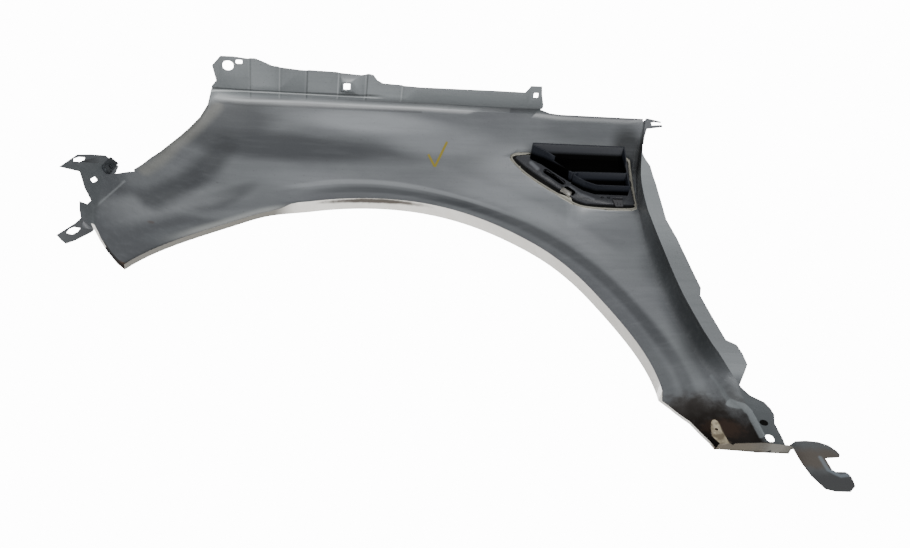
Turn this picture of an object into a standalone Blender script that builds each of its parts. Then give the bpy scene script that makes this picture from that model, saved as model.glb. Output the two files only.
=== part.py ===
"""Right-hand front fender of a compact SUV, with its side vent insert.

Design sizes are in millimetres in the car's own axes: x runs to the rear, y outboard, z up.
x = z = 0 is the wheel centre and y = 0 the outermost line of the wheel-arch lip.
The part's frame has its origin on the front pad of the hood-side flange.
"""
import math

import bmesh
import bpy
from mathutils import Matrix, Vector

# The wheel arch sizes the whole part: every outline below is drawn for an arch of the drawn radius
ARCH_R = 403.0
DRAWN_ARCH_R = 403.0
UNIT = 0.001 * ARCH_R / DRAWN_ARCH_R

# Origin of the part's frame, on the underside of the hood flange
PAD_X = -205.0
PAD_Y = -138.0
HOOD_FLANGE_Z = 576.0

# Sheet and gaps
SHEET = 0.9
SEAT_GAP = 0.3

# Wheel arch, with how far its edge stands outside a true circle at some angles
ARCH_TRIM = [(-4, 0), (22, -7), (48, 0), (72, 3.5), (102, -0.5), (130, 1), (152.6, 0.7)]
ARCH_FRONT_DEG = 152.6
ARCH_REAR_DEG = -4.0
FLARE_WIDTH = 75.0
FLARE_DEPTH = 16.0
FLARE_FADE = 8.0
FLARE_FADE_X = -85.0
FLARE_FADE_RUN = 90.0
ARCH_LIP = 22.0
ARCH_LIP_FRONT = 9.0
ARCH_LIP_STEP_DEG = 109.0
FOOT_LIP = 4.0

# Side surface: shoulder lean, nose wrap and foot tuck
SHOULDER_Z = 420.0
SHOULDER_RISE = 170.0
LEAN_REAR = 52.0
LEAN_EXTRA_FRONT = 30.0
LEAN_TURN_X = 250.0
LEAN_RUN = 480.0
NOSE_X = -195.0
NOSE_RADIUS = 249.0
TUCK_Z = 190.0
TUCK_HEIGHT = 340.0
TUCK_DEPTH = 42.0
TUCK_X = 100.0
TUCK_RUN = 300.0

# Outlines on the side surface, as x, z
LAMP_EDGE = [(-364, 393), (-344, 436), (-316, 477), (-286, 516), (-265, 544), (-258, 562), (-255, 580)]
CROWN = [(-255, 580), (-108, 584), (0, 588), (101, 592), (313, 592), (352, 588), (506, 586)]
FRONT_EDGE = [(-358.5, 185.7), (-365.5, 188), (-379, 198.5), (-390, 210), (-402, 228), (-405, 253), (-404, 273),
              (-391, 319), (-374, 361), (-366, 387), (-364, 393)]
FOOT_EDGE = [(402, -28), (411, -42), (421, -64), (432, -86), (435, -104), (442, -125), (445, -140)]

# Door side: root of the wall on the side surface, and the fold at its inner edge
ROOT = [(506, 586), (499, 560), (490, 525), (481, 490), (475, 455), (470, 420), (465, 370), (460, 325),
        (457, 277), (461, 209), (467, 137), (472, 66), (478, 30), (482, 5), (484, -32), (488, -50),
        (496, -62), (503, -80), (503, -105), (502, -127), (500, -147)]
FOLD = [(510, 586), (500, 550), (489, 515), (479, 475), (472, 440), (468, 405), (465, 358), (467, 299),
        (471, 220), (476, 148), (484, 73), (490, 30), (500, 0), (511, -24), (519, -44), (529, -54),
        (538, -60), (543, -72), (544, -88), (538, -104), (538, -142), (535, -164)]
WALL_DEPTH = 38.0
WALL_DEPTH_TOP = 6.0
WALL_TOP_Z = 470.0
WALL_FOOT_Z = 30.0
WALL_FOOT_RUN = 75.0
PAD_DEPTH = 16.0
PAD_CREST_RUN = 11.0
PAD_TOP_Z = 5.0
PAD_TOP_RUN = 40.0
PAD_TURN_Z = -100.0
DOOR_FLANGE = [(486, 500), (487, 484), (494, 465), (496, 421), (492, 331), (499, 286), (509, 171), (503, 153),
               (513, 52), (526, 41), (532, 4), (526, -7), (506, -33)]
FORK_FLANGE = [(537, 581), (537, 565), (507, 550), (499, 534)]
FORK_Y = -70.0
FORK_SLOT = [(518.6, 577.2), (518.6, 570.8), (546, 570.8), (546, 577.2)]
COWL_RETURN = 4.0
LAMP_RETURN = 4.0
FOOT_DROP = (0.0, 0.45, 0.85, 0.95, 1.0)
FOOT_ROWS = [-33.0, -48.0, -62.0, -76.0, -88.0, -104.0, -120.0, -134.0]
BOTTOM_INNER = [(445, -75, -146), (455, -81, -150), (470, -88, -155), (500, -90, -156), (538, -92, -164)]

# Hood side: ledge and flange, as x, y on the flange
LEDGE_TOP = 9.0
LEDGE_RUN = 23.5
HOOD_EDGE = [(-253, -153), (-239, -172), (-219, -172), (-195, -169), (-183, -169), (-169, -163),
             (-155, -156), (-109, -151), (-48, -149), (-7, -146), (6, -148), (14, -146), (21, -136),
             (31, -130), (95, -126), (235, -125), (278, -124), (284, -133), (286, -138), (306, -138),
             (309, -121), (315, -97)]
HOOD_REAR_X = 315.0
RELIEF_PADS = [(-194, -143), (-98, -44), (0, 66)]
RELIEF_HEIGHT = 1.6
RELIEF_RAMP = 3.0
FIRST_HOLE = (-227, -154, 17.5, 19.0)
SMALL_HOLE = (-209, -162, 11.0, 8.0)
MID_HOLE = (-30, -122, 11.0, 13.0)
MID_RIM = (19.0, 22.0, 1.2)
TAB_HOLE = (298, -119, 8.0, 10.0)

# Front bracket flange: a plate in its own plane, from two points on its bend
BEND_LOW = (-413, -123, 288)
BEND_HIGH = (-386, -99, 355)
BRACKET_UP = (-0.554, -0.688, 0.470)
BRACKET = [(94, 7), (91, 13), (85, 25.5), (81, 31), (51, 43), (23, 52), (-29, 49), (5, 29), (-8, 5)]
BRACKET_SLOT = [(6, 46), (10, 49), (24, 47.5), (35, 43), (32, 40.5), (18, 41)]
BRACKET_SQUARE = (22.0, 8.7, 14.0, 6.5)
SIDE_FIN = [(0.257, (-418, -118, 230)), (0.31, (-421, -123, 242)), (0.367, (-422, -129, 254)),
            (0.405, (-414, -117, 262)), (0.45, (-410, -114, 274)), (0.50, (-416, -126, 280)),
            (0.844, BEND_HIGH), (0.95, (-371, -81, 383))]
TAB_Z = 230.0
LOWER_TAB = [(-428, -107), (-456, -84), (-450, -73), (-445, -67), (-431, -74), (-406, -91)]
LOWER_TAB_HOLE = [(-442, -88), (-437, -96), (-430, -100), (-421, -99), (-426, -91), (-434, -85)]

# Foot: plug hole, slot, liner tab and hook
PLUG_HOLE = (522.5, -104.5)
PLUG_DIAMETER = 12.0
PLUG_HEAD = 13.4
PLUG_SEAT = 0.5
FOOT_SLOT = (520.0, -135.0, 11.0, 15.0)
LINER_TAB = [(459, -150), (456, -139), (454, -116), (452, -109.5), (448.5, -106.5), (444.5, -107.5),
             (441.5, -112.5), (439, -122), (437, -134), (435, -148)]
LINER_TAB_Y = -75.0
LINER_HOLE = (446.5, -123.0, 4.5)
HOOK_UPPER = [(540, -152, -78), (549, -147, -80), (564, -147, -81), (580, -150, -82), (593, -156, -82),
              (601, -165, -82), (605, -174, -82)]
HOOK_LOWER = [(537, -170, -92), (543, -187, -86), (551, -206, -83), (564, -226, -82), (577, -230, -82),
              (597, -231, -82), (608, -221, -82)]
HOOK_CELLS = 4
HOOK_Y = -82.0
HOOK_END = [(584, -196), (581, -177), (598, -176), (601, -175.5), (602.6, -174), (603.4, -171.5), (603, -169),
            (625, -169), (625, -236), (598, -236), (601, -229.8), (604.4, -226), (606.6, -221.5), (607, -216),
            (606.6, -208), (604.5, -202.5), (601, -199.5), (588, -199)]

# Vent opening and the pressed rim around it
VENT = [(264, 506), (267, 512), (286, 514), (462, 510.5), (468, 506), (466, 470), (464, 412), (461, 407.5),
        (425, 406.5), (377, 408), (361, 416), (336, 441), (307, 466), (281, 489)]
VENT_RIM = [(255, 504), (257, 513), (272, 518), (464, 515.5), (472, 510), (471, 482), (468, 412),
            (465, 399), (455, 394.5), (410, 394), (371, 397), (354, 406), (327, 432), (300, 455), (273, 480)]
RIM_PROUD = 1.2

# Vent insert, with depths measured inboard from the side's inner face
BASE_INSET = 1.8
BASE_FACE = 2.0
BEZEL_OVERLAP = 7.0
BEZEL_SEAT = 0.55
BEZEL_THICK = 3.0
BEZEL_RECESS = 1.6
OUTER_RIBS = 3
OUTER_RIB_SPAN = (430.0, 494.0)
OUTER_RIB_HEIGHT = 5.0
OUTER_RIB_END = 463.0
DUCT_WALL = 2.0
UPPER_DEPTH = 33.0
LOWER_DEPTH = 22.0
DUCT_FLOOR = 1.5
UPPER_DUCT = [(291, 509), (455, 507), (454, 459.5), (372, 459.5), (356, 458.5), (310, 494), (291, 504)]
LOWER_DUCT = [(370, 462.2), (456, 462.2), (455, 431), (396, 432), (376, 441), (358, 455), (361, 459.5)]
UPPER_CUT = [(300, 489), (350, 478), (462, 478), (462, 440), (300, 440)]
VENT_PATCH = (246.0, 480.0, 390.0, 524.0)
POCKET = [(311, 484), (322, 470), (338, 455), (349, 455), (341, 465), (318, 483)]
PIN_HOLES = [(408.5, 425.5), (420.0, 425.5)]
PIN_DIAMETER = 4.0
SPRING_SLOT = [(345, 441), (348, 449), (363, 437), (357, 427)]
SPRING_CLIP = [(335, 435), (341, 445), (356, 432.5), (349.5, 422)]
SPRING_CUT = [(336, 432), (341.5, 440), (350, 433), (344, 424)]
LOWER_CUT = [(427.5, 420), (427.5, 426), (444, 426), (444, 420)]
LOWER_SLITS = (430.0, 434.5)
LOWER_SLIT_Z = (403.0, 411.0)
LOWER_CLIP = [(425, 417.5), (442, 417.5), (440, 400.5), (427, 400.5)]
SIDE_CLIP = [(456.3, 446), (456.3, 458), (463.5, 456), (463.5, 449)]
CLIP_THICK = 1.6

# Sheet-metal nut clipped over the end of the front bracket, in the bracket's plane
NUT_FOLD = [(88.2, 25.3), (96.5, 11)]
NUT_LEAF = NUT_FOLD + [(66, 4.5), (60.5, 4.2), (56, 7), (53.5, 12), (54.5, 17.5), (58, 20.5)]
NUT_BACK = NUT_FOLD + [(68, 5), (64, 19.5)]
NUT_RIM = [(67, 4.9), (60.6, 4.4), (56.1, 7.2), (53.7, 12), (54.7, 17.3), (58.2, 20.3), (59, 19.2), (56.1, 16.8),
           (55.2, 12.3), (57.3, 8.2), (61, 5.9), (67, 6.5)]
NUT_RIM_HEIGHT = 2.8
NUT_THICK = 1.2
NUT_BORE_AT = (73.5, 12.7)
NUT_BORE = 8.4
NUT_THREAD = 5.2
NUT_BARREL = 9.0
NUT_BARREL_HEIGHT = 5.0


def smooth(t):
    t = min(max(t, 0.0), 1.0)
    return t * t * (3.0 - 2.0 * t)


def lerp(a, b, t):
    return a + (b - a) * t


def skin_y(x, z):
    """Outboard place of the inner face of the side at x, z."""
    fade = FLARE_FADE * smooth((FLARE_FADE_X - x) / FLARE_FADE_RUN)
    flare = lerp(fade, FLARE_DEPTH, smooth((math.hypot(x, z) - DRAWN_ARCH_R) / FLARE_WIDTH))
    nose = max(NOSE_X - x, 0.0) ** 2 / (2.0 * NOSE_RADIUS)
    lean = LEAN_REAR + LEAN_EXTRA_FRONT * (max(LEAN_TURN_X - x, 0.0) / LEAN_RUN) ** 1.6
    shoulder = lean * (max(z - SHOULDER_Z, 0.0) / SHOULDER_RISE) ** 1.6
    tuck = TUCK_DEPTH * (max(TUCK_Z - z, 0.0) / TUCK_HEIGHT) ** 1.5
    tuck *= min(max((x - TUCK_X) / TUCK_RUN, 0.0), 1.0)
    return -(flare + nose + shoulder + tuck)


def place(x, y, z):
    """Design millimetres to metres in the part's frame."""
    return Vector(((x - PAD_X) * UNIT, (y - PAD_Y) * UNIT, (z - HOOD_FLANGE_Z) * UNIT))


def on_skin(x, z, depth=0.0):
    return place(x, skin_y(x, z) - depth, z)


def eased(points, key):
    """Value of a curve that runs through points and is level at each."""
    for (k0, v0), (k1, v1) in zip(points, points[1:]):
        if key <= k1:
            return lerp(v0, v1, smooth((key - k0) / (k1 - k0)))
    return points[-1][1]


def arch_point(degrees):
    radius = DRAWN_ARCH_R + eased(ARCH_TRIM, degrees)
    return (radius * math.cos(math.radians(degrees)), radius * math.sin(math.radians(degrees)))


def along(points, t):
    """Point at share t of a polyline's length."""
    spans = [math.dist(a, b) for a, b in zip(points, points[1:])]
    left = t * sum(spans)
    for a, b, span in zip(points, points[1:], spans):
        if left <= span + 1e-9:
            return tuple(lerp(p, q, left / span) for p, q in zip(a, b))
        left -= span
    return tuple(points[-1])


def read(points, key, col=0, by=1):
    """Value of column col of a polyline where its column by reaches key."""
    for a, b in zip(points, points[1:]):
        low, high = sorted((a[by], b[by]))
        if low <= key <= high and high > low:
            return lerp(a[col], b[col], (key - a[by]) / (b[by] - a[by]))
    ends = sorted((points[0], points[-1]), key=lambda p: abs(p[by] - key))
    return ends[0][col]


def spread(keys, step):
    """Keys with equal fill between them, no further apart than step."""
    out = [keys[0]]
    for a, b in zip(keys, keys[1:]):
        count = max(1, math.ceil(abs(b - a) / step))
        out += [lerp(a, b, k / count) for k in range(1, count + 1)]
    return out


# Stations: each joins a point of the lower edge to a point of the upper edge
CROWN_ARCH_DEG = (128.0, 54.0)
ROW_SHARES = [0, 0.042, 0.122, 0.19, 0.257, 0.31, 0.367, 0.405, 0.45, 0.50, 0.60, 0.70, 0.78, 0.844, 0.90, 0.95, 1.0]
LAMP_STATIONS = 9
CROWN_STEP = 26.0
PATCH_CELLS = (9, 8)
SIDEWAYS = ((0, 0, 0), (1, 0, 0), (0, 0, 1))
UPRIGHT = ((0, 0, 0), (1, 0, 0), (0, 1, 0))
DOOR_STEP = 25.0


def stations():
    out = []
    for k in range(LAMP_STATIONS):
        s = k / LAMP_STATIONS
        low = arch_point(lerp(ARCH_FRONT_DEG, CROWN_ARCH_DEG[0], s))
        out.append({"low": low, "high": along(LAMP_EDGE, s), "side": "lamp", "key": s})
    ramps = [x for a, b in RELIEF_PADS for x in (a, a + RELIEF_RAMP, b - RELIEF_RAMP, b)]
    edges = [x for x, _ in HOOD_EDGE]
    keys = sorted(set([CROWN[0][0], HOOD_REAR_X, CROWN[-2][0], CROWN[-1][0]] + ramps + edges[1:]))
    keys = [k for k in keys if k >= CROWN[0][0]]
    span = CROWN[-1][0] - CROWN[0][0]
    for x in spread(keys, CROWN_STEP)[:-1]:
        s = (x - CROWN[0][0]) / span
        low = arch_point(lerp(CROWN_ARCH_DEG[0], CROWN_ARCH_DEG[1], s))
        out.append({"low": low, "high": (x, read(CROWN, x, 1, 0)), "side": "crown", "key": x})
    top, bend, foot = ROOT[0][1], FOOT_EDGE[0][1], ROOT[-1][1]
    keys = [top] + [z for _, z in DOOR_FLANGE[:-1]] + [bend] + FOOT_ROWS + [foot]
    for z in spread(keys, DOOR_STEP):
        if z >= bend:
            low = arch_point(lerp(CROWN_ARCH_DEG[1], ARCH_REAR_DEG, (top - z) / (top - bend)))
        else:
            low = along(FOOT_EDGE, (bend - z) / (bend - foot))
        out.append({"low": low, "high": (read(ROOT, z), z), "side": "door", "key": z})
    return out


def front_pull(share):
    """How far the front edge stands off the straight line of the first station."""
    x, z = along(FRONT_EDGE, share)
    first = arch_point(ARCH_FRONT_DEG)
    return x - lerp(first[0], LAMP_EDGE[0][0], share), z - lerp(first[1], LAMP_EDGE[0][1], share)


def skin_columns(marks):
    columns = []
    for index, mark in enumerate(marks):
        fade = max(0.0, 1.0 - index / (LAMP_STATIONS + 6.0)) ** 2
        column = []
        for share in ROW_SHARES:
            pull_x, pull_z = front_pull(share)
            x = lerp(mark["low"][0], mark["high"][0], share) + pull_x * fade
            z = lerp(mark["low"][1], mark["high"][1], share) + pull_z * fade
            column.append(on_skin(x, z))
        columns.append(column)
    return columns


def strip(bm, lines):
    """Quads between neighbouring lines of points."""
    rows = [[bm.verts.new(p) for p in line] for line in lines]
    for a, b in zip(rows, rows[1:]):
        for i in range(len(a) - 1):
            bm.faces.new((a[i], a[i + 1], b[i + 1], b[i]))


def plate(bm, points):
    bm.faces.new([bm.verts.new(p) for p in points])


def lip_width(mark):
    degrees = math.degrees(math.atan2(mark["low"][1], mark["low"][0]))
    if mark["side"] == "door" and mark["key"] < FOOT_EDGE[0][1] - 0.5:
        return FOOT_LIP
    return lerp(ARCH_LIP, ARCH_LIP_FRONT, smooth((degrees - ARCH_LIP_STEP_DEG + 3.0) / 6.0))


def arch_lip(bm, marks, columns):
    outer = [column[0] for column in columns]
    inner = [p + Vector((0, -lip_width(mark) * UNIT, 0)) for p, mark in zip(outer, marks)]
    strip(bm, [outer, inner])


def lamp_return(bm, marks, columns):
    edge = [c[-1] for c, mark in zip(columns, marks) if mark["side"] == "lamp"]
    edge.append(columns[len(edge)][-1])
    inner = [p + Vector((0, -LAMP_RETURN * UNIT, 0)) for p in edge]
    strip(bm, [edge, inner])


def relief(x):
    for a, b in RELIEF_PADS:
        if a <= x <= b:
            return RELIEF_HEIGHT * smooth(min(x - a, b - x) / RELIEF_RAMP)
    return 0.0


def hood_side(bm, marks, columns):
    """Ledge and flange along the hood, ending in the short return of the cowl edge."""
    crown, top, fold, near, edge = [], [], [], [], []
    cowl, cowl_in = [], []
    for column, mark in zip(columns, marks):
        x = mark["key"]
        if mark["side"] == "lamp" or (mark["side"] == "door" and x < CROWN[-1][1]):
            continue
        end = column[-1]
        y = end.y / UNIT + PAD_Y
        z = end.z / UNIT + HOOD_FLANGE_Z
        if mark["side"] == "door":
            x = CROWN[-1][0]
        if x <= HOOD_REAR_X:
            at_front = x <= CROWN[0][0] + 1.0
            out_x, out_y = HOOD_EDGE[0] if at_front else (x, read(HOOD_EDGE, x, 1, 0))
            fold_x = x + 8.0 if at_front else x
            crown.append(end)
            top.append(place(x, y - LEDGE_TOP, z + 0.5))
            fold.append(place(fold_x, y - LEDGE_RUN, HOOD_FLANGE_Z))
            near.append(place(lerp(fold_x, out_x, 0.2), y - LEDGE_RUN - 6.0, HOOD_FLANGE_Z + relief(x)))
            edge.append(place(out_x, min(out_y, y - LEDGE_RUN - 7.0), HOOD_FLANGE_Z + relief(x)))
        if x >= HOOD_REAR_X:
            cowl.append(end)
            cowl_in.append(place(x, y - lerp(LEDGE_TOP, COWL_RETURN, smooth((x - HOOD_REAR_X) / 12.0)), z + 0.5))
    strip(bm, [crown, top, fold, near, edge])
    strip(bm, [cowl, cowl_in])


def wall_depth(z):
    if z > WALL_TOP_Z:
        return lerp(WALL_DEPTH, WALL_DEPTH_TOP, smooth((z - WALL_TOP_Z) / (CROWN[-1][1] - WALL_TOP_Z)))
    return lerp(WALL_DEPTH, PAD_DEPTH, smooth((WALL_FOOT_Z - z) / WALL_FOOT_RUN))


def door_side(bm, marks, columns):
    """Wall, fold and flange on the door side, which open out into the foot pad."""
    lines = [[] for _ in range(5)]
    flange_in, flange_out = [], []
    foot = ROOT[-1][1]
    for column, mark in zip(columns, marks):
        if mark["side"] != "door":
            continue
        z = mark["key"]
        root_x = read(ROOT, z)
        low_z = lerp(z, FOLD[-1][1], smooth((PAD_TURN_Z - z) / (PAD_TURN_Z - foot)))
        fold_x = read(FOLD, low_z)
        depth = wall_depth(z)
        pad = smooth((PAD_TOP_Z - z) / PAD_TOP_RUN)
        base = skin_y(root_x, z)
        for k, line in enumerate(lines):
            turn = math.radians(22.5 * k)
            x_wall = lerp(root_x, fold_x, math.sin(turn))
            d_wall = depth * (1.0 - math.cos(turn))
            x_pad = root_x + PAD_CREST_RUN * min(k / 2.0, 1.0)
            if k > 2:
                x_pad = lerp(x_pad, fold_x, (k - 2) / 2.0)
            d_pad = depth * (0.0, 0.55, 1.0, 1.0, 1.0)[k]
            x = lerp(x_wall, x_pad, pad)
            z_line = lerp(z, low_z, FOOT_DROP[k])
            line.append(place(x, skin_y(root_x, z_line) - lerp(d_wall, d_pad, pad), z_line))
        if DOOR_FLANGE[-1][1] - 1.0 <= z <= DOOR_FLANGE[0][1] + 1.0:
            flange_in.append(lines[-1][-1])
            out_x = max(read(DOOR_FLANGE, z), fold_x + 0.5)
            flange_out.append(place(out_x, base - depth + 1.0, z))
    strip(bm, lines)
    strip(bm, [flange_in, flange_out])
    top = lines[-1][:len(FORK_FLANGE)]
    near = [p + Vector((5.0 * UNIT, 0.0, 0.0)) for p in top[:2]]
    near += [p + Vector((2.5 * UNIT, 0.0, 0.0)) for p in top[2:]]
    strip(bm, [top, near])
    strip(bm, [near[:2], [place(x, FORK_Y, z) for x, z in FORK_FLANGE[:2]]])
    return [line[-1] for line in lines]


def bottom_flange(bm, columns, pad_end):
    edge = list(columns[-1]) + pad_end[1:]
    inner = []
    for p in edge:
        x = p.x / UNIT + PAD_X
        inner.append(place(x, read(BOTTOM_INNER, x, 1, 0), read(BOTTOM_INNER, x, 2, 0)))
    strip(bm, [[a.lerp(b, k / HOOK_CELLS) for a, b in zip(edge, inner)] for k in range(HOOK_CELLS + 1)])
    return edge[-1], inner[-1], inner


def hook(bm, outer, inner):
    """Tongue that twists out of the bottom flange and ends in a forked hook."""
    upper = [outer] + [place(x, y, z) for x, z, y in HOOK_UPPER]
    lower = [inner] + [place(x, y, z) for x, z, y in HOOK_LOWER]
    lines = []
    for a, b in zip(upper, lower):
        lines.append([a.lerp(b, k / HOOK_CELLS) for k in range(HOOK_CELLS + 1)])
    strip(bm, lines)


def bracket_axes():
    low = Vector(BEND_LOW)
    run = (Vector(BEND_HIGH) - low).normalized()
    up = Vector(BRACKET_UP)
    up = (up - up.dot(run) * run).normalized()
    return low, run, up


def bracket_point(a, b):
    low, run, up = bracket_axes()
    return place(*(low + run * a + up * b))


def front_side(bm, columns):
    """Side fin and bend on the front edge, then the bracket plate and the lower tab."""
    shares = [share for share, _ in SIDE_FIN]
    skin, fin = [], []
    for share, point in zip(ROW_SHARES, columns[0]):
        if shares[0] <= share <= shares[-1]:
            skin.append(point)
            low = max(s for s in shares if s <= share + 1e-6)
            high = min(s for s in shares if s >= share - 1e-6)
            a = Vector(dict(SIDE_FIN)[low])
            b = Vector(dict(SIDE_FIN)[high])
            t = 0.0 if high == low else (share - low) / (high - low)
            fin.append(place(*a.lerp(b, t)))
    skin.append(columns[0][-1])
    fin.append(columns[0][-1])
    strip(bm, [skin, fin])
    bend = [f for f, s in zip(fin, ROW_SHARES[4:]) if 0.50 <= s <= 0.844]
    plate(bm, bend + [bracket_point(a, b) for a, b in BRACKET])
    plate(bm, [skin[0], fin[0]] + [place(x, y, TAB_Z) for x, y in LOWER_TAB])


def liner_tab(bm, flange_inner):
    """Tab turned up from the inner edge of the bottom flange, for the wheel-arch liner."""
    base = [p for p in flange_inner if (p.x / UNIT + PAD_X) <= LINER_TAB[0][0] + 1.0]
    rim = [place(x, LINER_TAB_Y, z) for x, z in LINER_TAB[1:-1]]
    plate(bm, base + rim)


def new_object(name, mesh, group):
    obj = bpy.data.objects.new(name, mesh)
    group.objects.link(obj)
    return obj


def apply_modifiers(obj):
    """Bake an object's modifiers into its mesh."""
    graph = bpy.context.evaluated_depsgraph_get()
    graph.update()
    mesh = bpy.data.meshes.new_from_object(obj.evaluated_get(graph))
    obj.modifiers.clear()
    old = obj.data
    obj.data = mesh
    bpy.data.meshes.remove(old)


def boolean(obj, other, operation):
    mod = obj.modifiers.new(operation.title(), "BOOLEAN")
    mod.object = other
    mod.operation = operation
    mod.solver = "EXACT"
    apply_modifiers(obj)


def prism(name, outlines, low, high, axes, group):
    """Solid from flat outlines in mm, drawn on the first two axes and run from low to high on the third."""
    curve = bpy.data.curves.new(name, "CURVE")
    curve.dimensions = "2D"
    curve.fill_mode = "BOTH"
    curve.extrude = (high - low) / 2.0 * UNIT
    for outline in outlines:
        line = curve.splines.new("POLY")
        line.points.add(len(outline) - 1)
        for point, (u, v) in zip(line.points, outline):
            point.co = (u * UNIT, v * UNIT, 0.0, 1.0)
        line.use_cyclic_u = True
    obj = bpy.data.objects.new(name, curve)
    group.objects.link(obj)
    base, along_u, along_v = (Vector(a) for a in axes)
    normal = along_u.cross(along_v)
    turn = Matrix((along_u, along_v, normal)).transposed().to_4x4()
    middle = base + normal * ((low + high) / 2.0)
    graph = bpy.context.evaluated_depsgraph_get()
    graph.update()
    mesh = bpy.data.meshes.new_from_object(obj.evaluated_get(graph))
    mesh.transform(Matrix.Translation(place(*middle)) @ turn)
    bpy.data.objects.remove(obj)
    clean_mesh(mesh)
    return new_object(name, mesh, group)


def clean_mesh(mesh):
    bm = bmesh.new()
    bm.from_mesh(mesh)
    bmesh.ops.remove_doubles(bm, verts=bm.verts, dist=0.00002)
    bmesh.ops.recalc_face_normals(bm, faces=bm.faces)
    bm.to_mesh(mesh)
    bm.free()


def rounded(cx, cy, width, height, radius, steps=4):
    """Rounded rectangle about a centre."""
    points = []
    for quarter, (sx, sy) in enumerate(((1, 1), (-1, 1), (-1, -1), (1, -1))):
        ox = cx + sx * (width / 2.0 - radius)
        oy = cy + sy * (height / 2.0 - radius)
        for k in range(steps + 1):
            turn = math.radians(90.0 * (quarter + k / steps))
            points.append((ox + radius * math.cos(turn), oy + radius * math.sin(turn)))
    return points


def slab(name, near, far, group):
    """Solid patch that follows the side surface between two depths."""
    x0, x1, z0, z1 = VENT_PATCH
    nx, nz = PATCH_CELLS
    bm = bmesh.new()
    strip(bm, [[on_skin(lerp(x0, x1, i / nx), lerp(z0, z1, j / nz), near) for j in range(nz + 1)]
               for i in range(nx + 1)])
    bmesh.ops.remove_doubles(bm, verts=bm.verts, dist=0.00002)
    sheet = bm.faces[:]
    copy = bmesh.ops.extrude_face_region(bm, geom=sheet, use_keep_orig=True)
    moved = [v for v in copy["geom"] if isinstance(v, bmesh.types.BMVert)]
    bmesh.ops.translate(bm, verts=moved, vec=(0.0, (near - far) * UNIT, 0.0))
    bmesh.ops.recalc_face_normals(bm, faces=bm.faces)
    mesh = bpy.data.meshes.new(name)
    bm.to_mesh(mesh)
    bm.free()
    return new_object(name, mesh, group)


def fitted(name, outlines, near, far, group, guides):
    """Piece of the side's shape that lies within flat outlines seen along y."""
    obj = slab(name, near, far, group)
    cutter = prism(name + "_outline", outlines, -60.0, 140.0, SIDEWAYS, guides)
    boolean(obj, cutter, "INTERSECT")
    return obj


def circle(cx, cy, diameter, count=20):
    turns = [2.0 * math.pi * k / count for k in range(count)]
    return [(cx + diameter / 2.0 * math.cos(t), cy + diameter / 2.0 * math.sin(t)) for t in turns]


def offset(outline, amount):
    """Outline moved outward by amount, or inward where it is negative."""
    area = sum(a[0] * b[1] - b[0] * a[1] for a, b in zip(outline, outline[1:] + outline[:1]))
    sign = 1.0 if area > 0 else -1.0
    count = len(outline)
    out = []
    for i, point in enumerate(outline):
        a = Vector(outline[i - 1])
        p = Vector(point)
        b = Vector(outline[(i + 1) % count])
        d1 = (p - a).normalized()
        d2 = (b - p).normalized()
        n1 = Vector((d1.y, -d1.x)) * sign
        n2 = Vector((d2.y, -d2.x)) * sign
        n = (n1 + n2).normalized()
        out.append(tuple(p + n * (amount / max(n.dot(n1), 0.4))))
    return out


def material(name, color, roughness, metallic):
    mat = bpy.data.materials.new(name)
    mat.use_nodes = True
    shader = mat.node_tree.nodes["Principled BSDF"]
    shader.inputs["Base Color"].default_value = (*color, 1.0)
    shader.inputs["Roughness"].default_value = roughness
    shader.inputs["Metallic"].default_value = metallic
    mat.diffuse_color = (*color, 1.0)
    return mat


def finish_piece(obj, mat):
    obj.data.materials.clear()
    obj.data.materials.append(mat)
    clean_mesh(obj.data)
    obj.data.shade_smooth()
    obj.data.set_sharp_from_angle(angle=math.radians(30.0))


def build_panel(group, guides):
    marks = stations()
    columns = skin_columns(marks)
    bm = bmesh.new()
    strip(bm, columns)
    arch_lip(bm, marks, columns)
    lamp_return(bm, marks, columns)
    hood_side(bm, marks, columns)
    pad_end = door_side(bm, marks, columns)
    outer, inner, flange_inner = bottom_flange(bm, columns, pad_end)
    hook(bm, outer, inner)
    front_side(bm, columns)
    liner_tab(bm, flange_inner)
    bmesh.ops.remove_doubles(bm, verts=bm.verts, dist=0.00005)
    bmesh.ops.recalc_face_normals(bm, faces=bm.faces)
    big = max(bm.faces, key=lambda f: f.calc_area() if abs(f.calc_center_median().x) < 0.3 else 0.0)
    if big.normal.y > 0:
        bmesh.ops.reverse_faces(bm, faces=bm.faces)
    mesh = bpy.data.meshes.new("fender_panel")
    bm.to_mesh(mesh)
    bm.free()
    panel = new_object("fender_panel", mesh, group)
    shell = panel.modifiers.new("Sheet", "SOLIDIFY")
    shell.thickness = SHEET * UNIT
    shell.offset = -1.0
    shell.use_even_offset = True
    apply_modifiers(panel)
    return panel


def bracket_frame():
    low, run, up = bracket_axes()
    return (tuple(low), tuple(run), tuple(up))


def pad_frame(x, z):
    """Axes at a place on the foot pad, flat on it."""
    base = Vector((x, skin_y(x, z) - PAD_DEPTH, z))
    above = Vector((x, skin_y(x, z + 8.0) - PAD_DEPTH, z + 8.0))
    beside = Vector((x + 8.0, skin_y(x + 8.0, z) - PAD_DEPTH, z))
    run = (beside - base).normalized()
    rise = above - base
    rise = (rise - rise.dot(run) * run).normalized()
    return (tuple(base), tuple(run), tuple(rise))


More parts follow.
